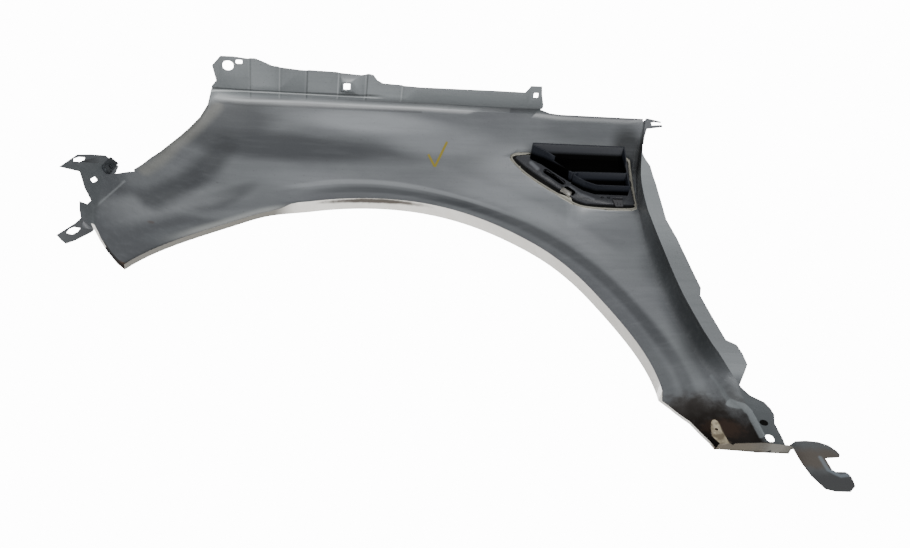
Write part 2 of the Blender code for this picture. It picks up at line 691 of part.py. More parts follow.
def cut_panel(panel, group, guides):
    def cut(name, outlines, low, high, axes):
        boolean(panel, prism("cut_" + name, outlines, low, high, axes, guides), "DIFFERENCE")

    rim = fitted("rim", [VENT_RIM], -SHEET * 0.5, RIM_PROUD, guides, guides)
    boolean(panel, rim, "UNION")
    cut("vent", [VENT], -30.0, 60.0, SIDEWAYS)
    x, y, w, h = MID_HOLE
    collar = rounded(x, y, MID_RIM[0], MID_RIM[1], 4.0)
    ring = prism("collar", [collar], HOOD_FLANGE_Z - MID_RIM[2], HOOD_FLANGE_Z + SHEET / 2.0, UPRIGHT, guides)
    boolean(panel, ring, "UNION")
    low, high = HOOD_FLANGE_Z - 6.0, HOOD_FLANGE_Z + 6.0
    cut("mid", [rounded(x, y, w, h, 1.5, 2)], low, high, UPRIGHT)
    x, y, w, h = FIRST_HOLE
    cut("first", [rounded(x, y, w, h, w / 2.0 - 0.5, 5)], low, high, UPRIGHT)
    x, y, w, h = SMALL_HOLE
    cut("small", [rounded(x, y, w, h, 3.0, 3)], low, high, UPRIGHT)
    x, y, w, h = TAB_HOLE
    cut("tab", [rounded(x, y, w, h, 1.0, 1)], low, high, UPRIGHT)
    axes = bracket_frame()
    cut("slot", [BRACKET_SLOT], -8.0, 8.0, axes)
    x, y, w, h = BRACKET_SQUARE
    cut("square", [rounded(x, y, w, h, 1.2, 2)], -8.0, 8.0, axes)
    cut("lens", [LOWER_TAB_HOLE], TAB_Z - 8.0, TAB_Z + 8.0, UPRIGHT)
    cut("nut_seat", [circle(*NUT_BORE_AT, NUT_BORE)], -6.0, 6.0, axes)
    cut("plug", [circle(0.0, 0.0, PLUG_DIAMETER)], -8.0, 8.0, pad_frame(*PLUG_HOLE))
    x, z, w, h = FOOT_SLOT
    cut("foot", [rounded(0.0, 0.0, w, h, w / 2.0 - 0.3, 4)], -5.0, 5.0, pad_frame(x, z))
    x, z, d = LINER_HOLE
    cut("liner", [circle(x, z, d, 12)], -LINER_TAB_Y - 9.0, -LINER_TAB_Y + 9.0, SIDEWAYS)
    cut("hook", [HOOK_END], -HOOK_Y - 12.0, -HOOK_Y + 13.0, SIDEWAYS)
    cut("fork", [FORK_SLOT], -FORK_Y - 15.0, -FORK_Y + 15.0, SIDEWAYS)


def build_bezel(group, guides):
    """Moulded base in the opening, with the trim frame and ribs on the outer side."""
    out = -SHEET - BEZEL_SEAT
    bezel = fitted("vent_bezel", [offset(VENT, -BASE_INSET)], out - BEZEL_THICK * 0.8, BASE_FACE, group, guides)
    frame = fitted("bezel_frame", [offset(VENT, BEZEL_OVERLAP)], out - BEZEL_THICK, out, guides, guides)
    recess = fitted("bezel_recess", [offset(VENT, -4.0)], out - BEZEL_THICK - 3.0,
                    out - BEZEL_THICK + BEZEL_RECESS, guides, guides)
    boolean(bezel, frame, "UNION")
    boolean(bezel, recess, "DIFFERENCE")
    z_low, z_high = OUTER_RIB_SPAN
    for k in range(OUTER_RIBS):
        z = lerp(z_low, z_high, k / (OUTER_RIBS - 1))
        half = OUTER_RIB_HEIGHT / 2.0
        left = read(VENT[9:], z) - 1.0
        bar = [(left, z - half), (OUTER_RIB_END, z - half), (OUTER_RIB_END, z + half), (left, z + half)]
        rib = fitted("bezel_rib%d" % k, [bar], out - BEZEL_THICK + 0.4, out - BEZEL_THICK + BEZEL_RECESS + 0.5,
                     guides, guides)
        boolean(bezel, rib, "UNION")
    for name, outline, depth in (("pocket", POCKET, 2.4), ("spring", SPRING_SLOT, 2.4),
                                 ("lower", LOWER_CUT, 2.4)):
        cutter = fitted("bezel_" + name, [outline], BASE_FACE - depth, BASE_FACE + 4.0, guides, guides)
        boolean(bezel, cutter, "DIFFERENCE")
    for k, (x, z) in enumerate(PIN_HOLES):
        cutter = fitted("bezel_pin%d" % k, [circle(x, z, PIN_DIAMETER, 10)], BASE_FACE - 2.0, BASE_FACE + 4.0,
                        guides, guides)
        boolean(bezel, cutter, "DIFFERENCE")
    return bezel


def build_duct(group, guides):
    """Two open air ducts moulded in one piece on a floor."""
    low = BASE_FACE + SEAT_GAP
    duct = fitted("vent_duct", [UPPER_DUCT], low, UPPER_DEPTH, group, guides)
    notch = fitted("duct_notch", [UPPER_CUT], LOWER_DEPTH + 1.0, UPPER_DEPTH + 6.0, guides, guides)
    boolean(duct, notch, "DIFFERENCE")
    lower = fitted("duct_lower", [LOWER_DUCT], low, LOWER_DEPTH, guides, guides)
    boolean(duct, lower, "UNION")
    for name, outline, floor in (("upper", UPPER_DUCT, DUCT_FLOOR), ("lower", LOWER_DUCT, DUCT_FLOOR * 1.3)):
        hollow = fitted("duct_hollow_" + name, [offset(outline, -DUCT_WALL)], low + floor,
                        UPPER_DEPTH + 6.0, guides, guides)
        boolean(duct, hollow, "DIFFERENCE")
    return duct


def build_clips(group, guides):
    low = BASE_FACE + SEAT_GAP
    spring = fitted("vent_spring_clip", [SPRING_CLIP], low, low + 3.0, group, guides)
    gap = fitted("spring_gap", [SPRING_CUT], low - 1.0, low + 3.0 - CLIP_THICK * 0.6, guides, guides)
    boolean(spring, gap, "DIFFERENCE")
    lower = fitted("vent_lower_clip", [LOWER_CLIP], low, low + 2.6, group, guides)
    z0, z1 = LOWER_SLIT_Z
    for k, x in enumerate(LOWER_SLITS):
        slit = fitted("lower_slit%d" % k, [[(x, z0), (x + 2.0, z0), (x + 2.0, z1), (x, z1)]], low + 1.3,
                      low + 6.0, guides, guides)
        boolean(lower, slit, "DIFFERENCE")
    side = fitted("vent_side_clip", [SIDE_CLIP], low, low + 8.0, group, guides)
    return spring, lower, side


def build_nut(group, guides):
    """Folded sheet nut over the bracket's end: two leaves, a bridge, a turned-up rim and a threaded barrel."""
    axes = bracket_frame()
    top = SEAT_GAP + NUT_THICK
    bottom = -SHEET - SEAT_GAP - NUT_THICK
    a, b = (Vector(p) for p in NUT_FOLD)
    run = (b - a).normalized()
    inward = Vector((run.y, -run.x))
    shy = NUT_THICK * 0.15
    far = NUT_THICK + shy
    bridge = [tuple(a + inward * shy + run * shy), tuple(b + inward * shy - run * shy),
              tuple(b + inward * far - run * shy), tuple(a + inward * far + run * shy)]

    def part(name, outlines, low, high):
        return prism(name, outlines, low, high, axes, guides)

    nut = prism("bracket_clip_nut", [NUT_LEAF], SEAT_GAP, top, axes, group)
    boolean(nut, part("nut_bore", [circle(*NUT_BORE_AT, NUT_BORE)], SEAT_GAP - 2.0, top + 2.0), "DIFFERENCE")
    boolean(nut, part("nut_rim", [NUT_RIM], SEAT_GAP + 0.4, top + NUT_RIM_HEIGHT), "UNION")
    boolean(nut, part("nut_bridge", [bridge], bottom + shy, top - shy), "UNION")
    back = part("nut_back", [NUT_BACK], bottom, -SHEET - SEAT_GAP)
    barrel = part("nut_barrel", [circle(*NUT_BORE_AT, NUT_BARREL, 16)], bottom - NUT_BARREL_HEIGHT, bottom + 0.4)
    thread = part("nut_thread", [circle(*NUT_BORE_AT, NUT_THREAD, 12)], bottom - NUT_BARREL_HEIGHT + 1.0, 0.0)
    boolean(back, barrel, "UNION")
    boolean(back, thread, "DIFFERENCE")
    boolean(nut, back, "UNION")
    return nut


def build_plug(group, guides):
    axes = pad_frame(*PLUG_HOLE)
    seat = -SHEET - PLUG_SEAT
    plug = prism("foot_plug", [circle(0.0, 0.0, PLUG_DIAMETER - 2.0 * SEAT_GAP)], seat - 1.0, 0.6, axes, group)
    head = prism("plug_head", [circle(0.0, 0.0, PLUG_HEAD)], seat - 2.0, seat, axes, guides)
    boolean(plug, head, "UNION")
    return plug


def remove_all():
    for obj in list(bpy.data.objects):
        bpy.data.objects.remove(obj, do_unlink=True)


def main():
    remove_all()
    scene = bpy.context.scene
    group = bpy.data.collections.new("front_fender")
    guides = bpy.data.collections.new("cutters")
    scene.collection.children.link(group)
    scene.collection.children.link(guides)
    guides.hide_render = True
    panel = build_panel(group, guides)
    cut_panel(panel, group, guides)
    bezel = build_bezel(group, guides)
    duct = build_duct(group, guides)
    spring, lower, side = build_clips(group, guides)
    nut = build_nut(group, guides)
    plug = build_plug(group, guides)
    finish_piece(panel, material("grey primer on steel", (0.19, 0.21, 0.22), 0.42, 0.0))
    finish_piece(bezel, material("gloss black plastic", (0.02, 0.02, 0.022), 0.22, 0.0))
    finish_piece(duct, material("satin black plastic", (0.03, 0.032, 0.038), 0.45, 0.0))
    finish_piece(spring, material("bright spring steel", (0.62, 0.61, 0.58), 0.3, 1.0))
    finish_piece(lower, material("dark clip plastic", (0.04, 0.04, 0.042), 0.5, 0.0))
    finish_piece(side, material("black clip plastic", (0.02, 0.02, 0.02), 0.5, 0.0))
    finish_piece(nut, material("phosphated steel", (0.07, 0.075, 0.08), 0.45, 0.6))
    finish_piece(plug, material("black rubber", (0.01, 0.01, 0.01), 0.7, 0.0))
    for cutter in list(guides.objects):
        cutter.hide_render = True
        cutter.display_type = "WIRE"


main()
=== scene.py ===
"""Looks of the front fender: its painted and primed steel, its vent insert, its dirt and its camera."""
import math

import bmesh
import bpy
from mathutils import Matrix, Vector
from mathutils.bvhtree import BVHTree


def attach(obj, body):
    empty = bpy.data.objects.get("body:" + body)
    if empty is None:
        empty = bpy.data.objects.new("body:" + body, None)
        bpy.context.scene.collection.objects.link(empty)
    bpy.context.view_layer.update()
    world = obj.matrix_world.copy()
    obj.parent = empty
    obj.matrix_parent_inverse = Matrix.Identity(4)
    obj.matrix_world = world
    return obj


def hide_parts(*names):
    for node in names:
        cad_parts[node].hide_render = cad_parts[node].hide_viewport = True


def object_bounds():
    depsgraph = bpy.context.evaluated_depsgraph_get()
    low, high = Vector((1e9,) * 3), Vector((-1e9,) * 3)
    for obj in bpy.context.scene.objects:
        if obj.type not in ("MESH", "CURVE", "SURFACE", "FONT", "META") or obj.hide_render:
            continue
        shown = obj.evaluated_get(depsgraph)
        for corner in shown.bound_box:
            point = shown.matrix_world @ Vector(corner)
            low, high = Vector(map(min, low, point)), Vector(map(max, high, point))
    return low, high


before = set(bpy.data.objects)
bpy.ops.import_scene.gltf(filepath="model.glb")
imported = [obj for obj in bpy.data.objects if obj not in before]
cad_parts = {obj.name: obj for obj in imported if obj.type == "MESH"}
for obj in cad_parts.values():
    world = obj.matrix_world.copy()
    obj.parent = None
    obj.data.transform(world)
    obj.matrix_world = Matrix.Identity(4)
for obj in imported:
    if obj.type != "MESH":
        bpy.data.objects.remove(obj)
cad_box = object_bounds()

MM = 0.001
SHEET_MM = 0.9

# Fender axes in millimetres: x to the rear, y outboard, z up from the wheel centre
# PAD is where the frame's origin lies in them
PAD = Vector((-205.0, -138.0, 576.0))

# Photograph's camera in those axes
CAMERA_AT = Vector((-134.9, -1225.3, -1023.7))
CAMERA_RIGHT = Vector((0.9883, -0.1163, -0.0990))
CAMERA_UP = Vector((-0.0149, -0.7187, 0.6951))
FOCAL_MM = 44.66
FILM_MM = 36.0

# Studio: powers in watts, and places in metres of the frame, as steps from the camera, the part's middle
# or the vent
FLOOR_Z = -2.3
FLOOR_HALF = 8.0
WHITE_GROUND = 14.0
ROOM_FILL = 0.36
SURROUND = 1.0
KEY_POWER = 60.0
KEY_FROM_CAMERA = Vector((0.5, -0.1, 0.3))
SIDE_POWER = 12.0
SIDE_FROM_MIDDLE = Vector((-1.6, -1.4, 0.5))
BACK_POWER = 40.0
BACK_FROM_MIDDLE = Vector((0.3, 2.2, 1.6))
VENT_POWER = 1.1
VENT_FROM_VENT = Vector((0.34, -1.45, 0.6))
VENT_PLACE = (370.0, -30.0, 470.0)

# Side surface, as the part has it
ARCH_R = 403.0
FLARE_WIDTH = 75.0
FLARE_DEPTH = 16.0
FLARE_FADE = 8.0
FLARE_FADE_X = -85.0
FLARE_FADE_RUN = 90.0
LEAN_BASE = 52.0
LEAN_FRONT = 30.0
LEAN_FROM_Z = 420.0
LEAN_RUN_Z = 170.0
LEAN_FROM_X = 250.0
LEAN_RUN_X = 480.0
LEAN_POWER = 1.6

# Pressed rim round the vent opening, as x, z
SEALER_RIM = [
    (255, 504), (257, 513), (272, 518), (464, 515.5), (472, 510), (471, 482), (468, 412), (465, 399),
    (455, 394.5), (410, 394), (371, 397), (354, 406), (327, 432), (300, 455), (273, 480),
]
VENT_MIDDLE = Vector((370.0, 456.0))

# Bead of sealer on that rim, and the gap inside it, where a black shadow is painted
BEAD_RADIUS = 1.6
BEAD_PROUD = 0.4
BEAD_SIDES = 8
BEAD_INSET = 2.4
GAP_INSET = 5.5

# Painted places that lie on the primer's side: the liner's tab, and the foot flange's underside
LINER_TAB_BOX = [(433.0, 461.0), (-83.0, -68.0), (-147.0, -104.0)]
FOOT_FLANGE_BOX = [(425.0, 548.0), (-140.0, -2.0), (-160.0, -140.0)]

# The panel's materials, in the order of its slots
PRIMED, PAINTED, SEALED, GAP_SHADOW, TAB = range(5)

# Paint-marker tick, as x, z
TICK = [(112, 508), (122, 484), (146, 533)]
TICK_WIDTH = 4.0
TICK_STEPS = 8
TICK_LIFT = 0.45

# Colours of the sheet's inner side, with painted lighter and darker greys, shades and glints for how light
# falls on it
PRIMER = 0x494B4E
PRIMER_DUSTY = 0x525557
# Painted light and shade: lighter greys on the flanges and a darker grey on the bracket, for how light falls
# on them
FLANGE_PAINTED_LIGHT = 0x6C7072
DOOR_FLANGE_PAINTED_LIGHT = 0x55585A
BRACKET_PAINTED_SHADE = 0x383B3D
PAD_GREY = 0x36393B
FOLD_SHADE = 0x0F1113
STEP_SHADOW = 0x1F2122
STEP_GLINT = 0xA4A8A9
ROLL_GLINT = 0xB4B8B9
ROLL_SHADOW = 0x191A1B
DRAWN_PALE = 0x74777A
DRAWN_DEEP = 0x26282A
SPECK_BROWN = 0x2C2A27
RUST_BROWN = 0x35271E

# Colours of its painted side, with a painted shade on the front lip
PAINT_WHITE = 0xE4E1DB
PAINT_CREAM = 0xD3CEC5
# Painted shade: grey over the white of the front lip's turned edge
LIP_PAINTED_SHADE = 0x66645F
FOOT_GRIME = 0x504E4A
TAB_CREAM = 0x766F5F
TAB_FILM = 0x443E33
TAB_MUD = 0x1A1511

# Places on the sheet, as low, high and fade in millimetres along each axis that bounds them
FOLD_HOLLOW = {"x": (480.0, 700.0, 36.0), "z": (70.0, 300.0, 90.0)}
REAR_WALL = {"y": (-300.0, -49.0, 1.5), "x": (455.0, 700.0, 3.0), "z": (-10.0, 494.0, 10.0)}
REAR_WALL_TOP = {"z": (340.0, 700.0, 120.0)}
LEDGE = {"y": (-200.0, -92.0, 8.0), "z": (560.0, 700.0, 6.0)}
ROLL_CREST = {"x": (-247.0, 10.0, 30.0), "z": (570.0, 700.0, 5.0), "y": (-101.0, -99.6, 1.8)}
ROLL_FOOT = {"x": (-247.0, 10.0, 30.0), "z": (570.0, 700.0, 5.0), "y": (-106.0, -104.4, 1.8)}
BRACKET = {"x": (-700.0, -404.0, 5.0), "z": (240.0, 500.0, 10.0)}
PAD_FACE = {"x": (513.0, 700.0, 5.0), "z": (-400.0, -40.0, 30.0)}
FRONT_LIP = {"out": (-30.0, 12.0, 4.0), "y": (-120.0, -1.5, 1.5), "x": (-600.0, -150.0, 45.0)}
FOOT_UNDER = {"y": (-140.0, -2.0, 1.0), "z": (-400.0, -140.0, 12.0)}

# Pressed steps across the hood flange: place, strength of the shadow and of the glint beside it
FLANGE_STEPS = [
    (-191.0, 0.35, 0.05), (-140.0, 0.1, 0.3), (-97.0, 0.5, 0.1), (-42.0, 0.2, 0.35),
    (4.0, 0.5, 0.2), (67.0, 0.1, 0.3),
]
# Broad painted light and shade on the primer, soft shadows, pools of light and reflections: centre, reach,
# turn, colour and share
TONE_Y = -60.0
TONE_REACH_Y = 400.0
TONE_GRAIN = 110.0
LIGHT_AND_SHADE_PATCHES = [
    ((-340.0, 300.0), (160.0, 210.0), 0.0, 0x35373A, 0.85),
    ((-130.0, 508.0), (260.0, 30.0), 0.0, 0x292B2E, 0.85),
    ((-215.0, 540.0), (80.0, 42.0), 20.0, 0x2B2D30, 0.75),
    ((15.0, 560.0), (140.0, 24.0), 0.0, 0x74777A, 0.75),
    ((130.0, 535.0), (110.0, 34.0), 0.0, 0x686B6E, 0.5),
    ((-232.0, 400.0), (75.0, 20.0), 35.0, 0x27292C, 0.7),
    ((-110.0, 452.0), (90.0, 22.0), 0.0, 0x5F6265, 0.5),
    ((320.0, 400.0), (160.0, 60.0), -12.0, 0x626568, 0.5),
    ((395.0, 566.0), (90.0, 30.0), 0.0, 0x303336, 0.5),
    ((474.0, 522.0), (36.0, 62.0), 0.0, 0x101214, 0.85),
    ((290.0, 482.0), (110.0, 60.0), 0.0, 0x7C7F82, 0.38),
    ((450.0, 404.0), (64.0, 20.0), 0.0, 0x303235, 0.35),
    ((-335.0, 402.0), (72.0, 46.0), 40.0, 0x686B6D, 0.35),
    ((470.0, 250.0), (40.0, 50.0), 0.0, 0x1B1D20, 0.35),
    ((-180.0, 375.0), (130.0, 14.0), 14.0, 0x5B5E60, 0.5),
    ((-290.0, 300.0), (70.0, 18.0), 40.0, 0x4B4E50, 0.5),
]
# Shadow and light lines that run round the arch: middle and half width outside the lip, span in degrees
RING_CORE = 0.4
RING_END_FADE = 14.0
RINGS = [
    (40.0, 10.0, 16.0, 66.0, 0x1B1D20, 0.66),
    (16.0, 16.0, -6.0, 58.0, 0x24262A, 0.4),
    (34.0, 14.0, 76.0, 92.0, 0x24262A, 0.3),
    (84.0, 14.0, -12.0, 0.0, 0x24262A, 0.35),
    (6.0, 12.0, 113.0, 127.0, 0x8C8E8C, 0.55),
    (70.0, 24.0, 125.0, 137.0, 0x6E7173, 0.5),
    (78.0, 22.0, 44.0, 64.0, 0x74777A, 0.35),
    (44.0, 10.0, -2.0, 10.0, 0x26282B, 0.5),
    (37.0, 5.0, 66.0, 92.0, 0x222528, 0.6),
    (50.0, 4.0, 66.0, 98.0, 0x74777A, 0.4),
]
# Painted light and shade lines: a shade band and a light band along the lamp edge, a highlight along the
# front crease, and a highlight and a shadow line along the hood flange's fold: path, half width, fade, colour
# and share
PAINTED_LIGHT_STREAKS = [
    ([(-228.0, 505.0), (-338.0, 345.0)], 6.0, 24.0, 0x222427, 0.7),
    ([(-245.0, 562.0), (-309.0, 482.0), (-352.0, 404.0)], 1.0, 14.0, 0x64645F, 0.5),
    ([(-374.4, 360.0), (-392.0, 309.0), (-403.0, 276.0), (-407.0, 262.0), (-404.0, 236.0)],
     0.2, 1.8, 0x6E7173, 0.45),
    ([(-249.0, 573.0), (-106.0, 583.0), (102.0, 591.0), (260.0, 594.0)], 0.4, 2.4, 0x8C8F91, 0.5),
    ([(-249.0, 567.0), (-106.0, 576.0), (102.0, 584.0)], 0.4, 3.0, 0x242628, 0.45),
]
# Mud and grime: centre, reach, turn, colour, share and how ragged its edge is
MUD_GRAIN = 16.0
MUD = [
    ((440.0, -60.0, -60.0), (60.0, 120.0, 40.0), -18.0, 0x24201C, 0.75, 0.9),
    ((455.0, -60.0, -145.0), (125.0, 180.0, 130.0), 0.0, 0x0F0C0A, 0.98, 0.35),
]
HOOK_GRIME = [
    ((578.0, -82.0, -196.0), (95.0, 60.0, 70.0), 0.0, 0x1F1E1D, 0.4, 0.9),
    ((560.0, -82.0, -178.0), (70.0, 60.0, 20.0), 0.0, 0x322C26, 0.7, 0.8),
    ((575.0, -82.0, -222.0), (70.0, 60.0, 30.0), 0.0, 0x1A1A1B, 0.7, 0.8),
]
PAINT_GRAIN = 12.0
PAINT_DIRT = [
    ((15.0, -17.0, 400.0), (100.0, 6.0, 30.0), 0.0, 0x2E241C, 0.95, 0.6),
    ((455.0, -75.0, -140.0), (60.0, 40.0, 30.0), 0.0, 0x6E665A, 0.8, 0.6),
]
# Rust: centre, reach, turn and share
RUST_GRAIN = 7.0
RUST_RAGGED = 1.1
RUST = [
    ((470.0, -60.0, -100.0), (36.0, 60.0, 22.0), 0.0, 0.25),
    ((-358.0, -62.0, 190.0), (16.0, 30.0, 9.0), 0.0, 0.9),
    ((-332.0, -50.0, 300.0), (7.0, 30.0, 3.0), 30.0, 0.4),
]
# Lines over the dirt: a painted highlight along the pressed edge beside the pad in two widths, a painted
# bluish highlight on the rim of the hook's slot, a painted shadow in the crease of the front crumple, and the
# crumple's chipped white paint
TRIM_WOBBLE = 1.2
TRIM_AND_PAINTED_LIGHT_LINES = [
    ([(486.0, 8.0), (488.5, -8.0), (489.0, -33.0), (493.0, -52.0)], 0.6, 2.6, 0x4E5254, 0.6),
    ([(493.0, -52.0), (500.0, -60.0), (507.5, -68.0), (511.5, -80.0), (512.0, -101.0), (512.0, -129.0)],
     2.2, 1.8, 0x565A5C, 0.75),
    ([(574.0, -176.0), (578.0, -196.0), (592.0, -206.0), (606.0, -204.0)], 1.0, 3.5, 0x4C5359, 0.55),
    ([(-362.0, 190.0), (-379.0, 202.0), (-388.0, 212.0)], 1.2, 2.6, 0x100E0D, 0.85),
    ([(-403.0, 232.0), (-394.0, 216.0), (-387.0, 207.0)], 1.8, 1.2, 0xE4E1DB, 0.95),
]
# Mud splashed over the liner tab's rear edge
TAB_SPLASH = [(458.0, -112.0), (462.0, -150.0)]
# Vent base plate, on its inner face: painted reflections, and black painted shade in the modelled pocket,
# holes and slots of its moulding
PLATE_PAINTED_REFLECTIONS = [
    ([(292.0, 497.0), (302.0, 486.0)], 1.2, 4.5, 0x54565A, 0.7),
    ([(356.0, 448.0), (370.0, 433.0), (392.0, 421.0)], 0.5, 4.0, 0x4A4C50, 0.6),
]
PLATE_HOLLOWS = [
    ([(317.0, 480.0), (343.0, 458.0)], 4.5, 1.5),
    ([(408.0, 425.5), (409.0, 425.5)], 1.9, 0.6),
    ([(419.5, 425.5), (420.5, 425.5)], 1.9, 0.6),
    ([(430.0, 423.0), (441.5, 423.0)], 2.6, 0.8),
    ([(349.0, 443.5), (357.0, 436.5)], 5.0, 1.5),
]
# Ducts: where the slate of their rims turns to a black painted shade in their depths, and how much further
# out that is in the lower one
DUCT_SHADE_Y = -46.0
DUCT_SLATE_Y = -53.0
DUCT_SPLIT_Z = 461.0
DUCT_LOWER_STEP = 20.0


def place(x, y, z):
    """Fender millimetres to metres in the frame."""
    return (Vector((x, y, z)) - PAD) * MM


def smooth(t):
    t = min(max(t, 0.0), 1.0)
    return t * t * (3.0 - 2.0 * t)


def skin_y(x, z):
    """Inner face of the side at x, z above the arch's middle."""
    fade = FLARE_FADE * smooth((FLARE_FADE_X - x) / FLARE_FADE_RUN)
    flare = fade + (FLARE_DEPTH - fade) * smooth((math.hypot(x, z) - ARCH_R) / FLARE_WIDTH)
    lean = LEAN_BASE + LEAN_FRONT * (max(LEAN_FROM_X - x, 0.0) / LEAN_RUN_X) ** LEAN_POWER
    return -(flare + lean * (max(z - LEAN_FROM_Z, 0.0) / LEAN_RUN_Z) ** LEAN_POWER)


def linear(value):
    """sRGB hex colour to linear red, green, blue and alpha."""
    out = []
    for shift in (16, 8, 0):
        c = ((value >> shift) & 255) / 255.0
        out.append(c / 12.92 if c <= 0.04045 else ((c + 0.055) / 1.055) ** 2.4)
    return (*out, 1.0)


def add(tree, kind, links=None, **settings):
    """Adds a node with its settings; links gives each input a value or another node's output."""
    node = tree.nodes.new(kind)
    for name, value in settings.items():
        setattr(node, name, value)
    for key, value in (links or {}).items():
        feed(tree, node, key, value)
    return node


def feed(tree, node, key, value):
    """Gives one input a value or another node's output."""
    socket = node.inputs[key]
    if isinstance(value, bpy.types.NodeSocket):
        tree.links.new(value, socket)
    else:
        socket.default_value = value


def both(tree, first, second, operation="MULTIPLY"):
    """Two values joined by one operation, by default their product."""
    return add(tree, "ShaderNodeMath", {0: first, 1: second}, operation=operation).outputs[0]


def scaled_sum(tree, value, scale, base):
    """The value times the scale, plus the base."""
    return add(tree, "ShaderNodeMath", {0: value, 1: scale, 2: base}, operation="MULTIPLY_ADD").outputs[0]


def widest(tree, masks):
    """Largest of some masks at each place."""
    whole = masks[0]
    for mask in masks[1:]:
        whole = both(tree, whole, mask, "MAXIMUM")
    return whole


def vectors(tree, operation, first, second=(0.0, 0.0, 0.0)):
    return add(tree, "ShaderNodeVectorMath", {0: first, 1: second}, operation=operation).outputs[0]


def length(tree, vector):
    return add(tree, "ShaderNodeVectorMath", {0: vector}, operation="LENGTH").outputs["Value"]


def split(tree, vector):
    """A vector's x, y and z by name."""
    parts = add(tree, "ShaderNodeSeparateXYZ", {0: vector}).outputs
    return {"x": parts["X"], "y": parts["Y"], "z": parts["Z"]}


def turned(tree, vector, angle):
    """Vector turned about the y axis."""
    return add(tree, "ShaderNodeVectorRotate", {"Vector": vector, "Axis": (0.0, 1.0, 0.0), "Angle": angle},
               rotation_type="AXIS_ANGLE").outputs[0]


def noise(tree, vector, grain_mm, detail, roughness=0.5, distortion=0.0):
    return add(tree, "ShaderNodeTexNoise", {
        "Vector": vector, "Scale": 1.0 / grain_mm, "Detail": detail, "Roughness": roughness,
        "Distortion": distortion}).outputs["Fac"]


def ramp(tree, value, start, end, first=0.0, last=1.0, curve="LINEAR"):
    """First where the value is start, last where it is end, and held beyond them."""
    return add(tree, "ShaderNodeMapRange", {
        "Value": value, "From Min": start, "From Max": end, "To Min": first, "To Max": last},
               interpolation_type=curve).outputs["Result"]


def fender_mm(tree):
    """Position in fender millimetres."""
    where = add(tree, "ShaderNodeTexCoord")
    return add(tree, "ShaderNodeVectorMath", {0: where.outputs["Object"], 1: (1.0 / MM,) * 3, 2: tuple(PAD)},
               operation="MULTIPLY_ADD").outputs[0]


def facing(tree):
    """The face's own direction by name."""
    geometry = add(tree, "ShaderNodeNewGeometry")
    return split(tree, geometry.outputs["True Normal"])


def outside_lip(tree, axes):
    """Millimetres outside the wheel arch's lip."""
    flat = add(tree, "ShaderNodeCombineXYZ", {"X": axes["x"], "Z": axes["z"]})
    return both(tree, length(tree, flat.outputs[0]), ARCH_R, "SUBTRACT")


def round_arch(tree, axes):
    """Degrees round the arch, from the rear over the top."""
    return both(tree, both(tree, axes["z"], axes["x"], "ARCTAN2"), math.degrees(1.0))


def band(tree, value, low, high, fade):
    """1 between low and high, falling softly to 0 over the fade on each side."""
    rise = ramp(tree, value, low - fade, low, curve="SMOOTHSTEP")
    fall = ramp(tree, value, high, high + fade, 1.0, 0.0, "SMOOTHSTEP")
    return both(tree, rise, fall)


def region(tree, axes, spans):
    """Mask of a place that is given as low, high and fade along each axis that bounds it."""
    whole = None
    for name, (low, high, fade) in spans.items():
        mask = band(tree, axes[name], low, high, fade)
        whole = mask if whole is None else both(tree, whole, mask)
    return whole


def blot(tree, position, centre, reach, ragged, grain_mm, turn_deg=0.0, detail=5.0):
    """Soft-edged patch about a place, 1 inside and 0 outside, with an edge broken up by noise."""
    shifted = vectors(tree, "SUBTRACT", position, centre)
    scaled = vectors(tree, "DIVIDE", turned(tree, shifted, math.radians(turn_deg)), reach)
    far = length(tree, scaled)
    torn = scaled_sum(tree, noise(tree, position, grain_mm, detail, 0.6), ragged, far)
    return ramp(tree, torn, 0.45 + ragged / 2.0, 1.15 + ragged / 2.0, 1.0, 0.0, "SMOOTHSTEP")


def stroke(tree, position, path, half_width, fade, wobble=0.0):
    """Line of even width along a path of x, z places, with soft sides and, if asked, a wandering edge."""
    whole = None
    for start, end in zip(path, path[1:]):
        run = Vector(end) - Vector(start)
        middle = (Vector(start) + Vector(end)) / 2.0
        shifted = vectors(tree, "SUBTRACT", position, (middle.x, 0.0, middle.y))
        spot = split(tree, turned(tree, shifted, math.atan2(run.y, run.x)))
        aside = add(tree, "ShaderNodeMath", {0: spot["x"]}, operation="ABSOLUTE").outputs[0]
        beyond = both(tree, both(tree, aside, run.length / 2.0, "SUBTRACT"), 0.0, "MAXIMUM")
        far = length(tree, add(tree, "ShaderNodeCombineXYZ", {"X": beyond, "Z": spot["z"]}).outputs[0])
        whole = far if whole is None else both(tree, whole, far, "MINIMUM")
    if wobble:
        whole = scaled_sum(tree, noise(tree, position, 9.0, 4.0), wobble, whole)
    edge = half_width + wobble / 2.0
    return ramp(tree, whole, edge, edge + fade, 1.0, 0.0, "SMOOTHSTEP")


def over(tree, base, color, mask, share=1.0):
    """Colour laid over a base where the mask says, to a share."""
    amount = mask if share == 1.0 else both(tree, mask, share)
    return add(tree, "ShaderNodeMix", {"Factor": amount, 6: base, 7: color}, data_type="RGBA").outputs[2]


def relief(tree, shader, height, strength, distance_mm):
    """Fine unevenness that tilts the light without moving the surface."""
    bump = add(tree, "ShaderNodeBump", {"Height": height, "Strength": strength, "Distance": distance_mm * MM})
    feed(tree, shader, "Normal", bump.outputs["Normal"])


def finish_named(name, roughness, metallic=0.0, color=None):
    mat = bpy.data.materials.new(name)
    mat.use_nodes = True
    tree = mat.node_tree
    shader = tree.nodes["Principled BSDF"]
    shader.inputs["Roughness"].default_value = roughness
    shader.inputs["Metallic"].default_value = metallic
    if color is not None:
        shader.inputs["Base Color"].default_value = linear(color)
    return mat, tree, shader


